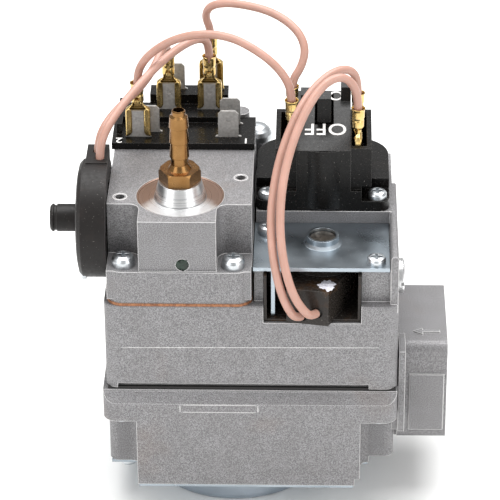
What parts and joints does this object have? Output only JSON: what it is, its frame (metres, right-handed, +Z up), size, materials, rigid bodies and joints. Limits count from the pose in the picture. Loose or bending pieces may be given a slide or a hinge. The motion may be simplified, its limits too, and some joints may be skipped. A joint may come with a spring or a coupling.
{
  "type": "combination gas valve",
  "caption": "Die-cast combination gas control valve for a burner, with a servo regulator, a side solenoid, a main coil, a terminal block and an off-on switch joined by jumper leads.",
  "frame": {"origin": "centre of the bounding box of the valve without its free leads, at the level of the round bottom cover's underside", "axes": "+Z up through the castings, +X towards the gas inlet on the right, -Y towards the front with the open coil cavity, +Y towards the gas outlet at the back"},
  "size_m": [0.122, 0.0853, 0.1454],
  "materials": {
    "cast_aluminium": "sand-textured die casting",
    "turned_aluminium": "turned, satin",
    "zinc_steel": "bright zinc plate",
    "spring_steel": "drawn wire",
    "brass": "drawn brass, satin",
    "tinned_brass": "matt tin plate",
    "black_plastic": "semi-gloss moulding",
    "coil_plastic": "potted coil",
    "nitrile": "calendered sheet",
    "gasket_fibre": "fibre sheet",
    "silicone_lead": "soft gloss",
    "magnetic_steel": "ground"
  },
  "bodies": {
    "valve": {"valve_body": "cast_aluminium", "upper_body": "cast_aluminium", "regulator_body": "cast_aluminium", "servo_gasket": "gasket_fibre", "main_diaphragm": "nitrile", "main_spring": "spring_steel", "bottom_plate": "zinc_steel", "cover_gasket": "nitrile", "bottom_cover": "zinc_steel", "regulator_cap": "turned_aluminium", "hose_barb": "brass", "regulator_seat_ring": "turned_aluminium", "regulator_diaphragm": "nitrile", "regulator_clamp_ring": "turned_aluminium", "regulator_seat": "turned_aluminium", "regulator_spring": "spring_steel", "solenoid_cover": "black_plastic", "solenoid_coil": "coil_plastic", "solenoid_tube": "brass", "solenoid_spring": "spring_steel", "terminal_block": "black_plastic", "terminal_tabs": "tinned_brass", "switch_housing": "black_plastic", "switch_blades": "tinned_brass", "coil_bracket": "zinc_steel", "main_coil": "coil_plastic", "coil_guide": "magnetic_steel", "pilot_spring": "spring_steel", "servo_screws": "zinc_steel", "flange_screws": "zinc_steel", "plate_screws": "zinc_steel", "bracket_screws": "zinc_steel", "switch_screws": "zinc_steel", "solenoid_screws": "zinc_steel", "domed_screw": "zinc_steel", "test_plug": "turned_aluminium", "push_on_connectors": "brass", "solenoid_lead_front": "silicone_lead", "solenoid_lead_back": "silicone_lead", "switch_lead_front": "silicone_lead", "switch_lead_back": "silicone_lead", "coil_lead_front": "silicone_lead", "coil_lead_back": "silicone_lead"},
    "main_valve": {"diaphragm_plates": "zinc_steel", "main_stem": "magnetic_steel", "stem_nut": "zinc_steel", "main_valve_disc": "turned_aluminium", "main_valve_pad": "nitrile"},
    "regulator": {"regulator_poppet": "turned_aluminium"},
    "solenoid": {"solenoid_plunger": "magnetic_steel", "solenoid_pad": "nitrile"},
    "pilot": {"pilot_plunger": "magnetic_steel", "pilot_pad": "nitrile"},
    "lever": {"switch_lever": "black_plastic", "contact_bridge": "brass"},
    "rotor": {"manual_rotor": "black_plastic", "rotor_seal": "nitrile"}
  },
  "joints": [
    {"name": "main_valve_lift", "type": "slide", "parent": "valve", "child": "main_valve", "axis": [0, 0, -1], "range_m": [0, 0.004], "stiffness_N_per_m": 400, "springref_m": -0.005, "deforming": ["main_spring", "main_diaphragm"]},
    {"name": "regulator_lift", "type": "slide", "parent": "valve", "child": "regulator", "axis": [0, 0, 1], "range_m": [0, 0.001], "stiffness_N_per_m": 300, "springref_m": -0.002, "deforming": ["regulator_spring", "regulator_diaphragm"]},
    {"name": "side_solenoid_pull", "type": "slide", "parent": "valve", "child": "solenoid", "axis": [-1, 0, 0], "range_m": [0, 0.0015], "stiffness_N_per_m": 300, "springref_m": -0.003, "deforming": ["solenoid_spring"]},
    {"name": "pilot_pull", "type": "slide", "parent": "valve", "child": "pilot", "axis": [0, 0, 1], "range_m": [0, 0.0018], "stiffness_N_per_m": 300, "springref_m": -0.002, "deforming": ["pilot_spring"]},
    {"name": "off_on_slide", "type": "slide", "parent": "valve", "child": "lever", "axis": [0, 0.9659, 0.2589], "range_m": [0, 0.006]},
    {"name": "shut_off_turn", "type": "hinge", "parent": "valve", "child": "rotor", "pos_m": [0.0152, 0.0115, 0.0916], "axis": [0, 0, 1], "range_deg": [0, 38.1]}
  ],
  "couplings": [
    {"joint": "shut_off_turn", "follows": "off_on_slide", "rad_per_m": 110.5}
  ]
}
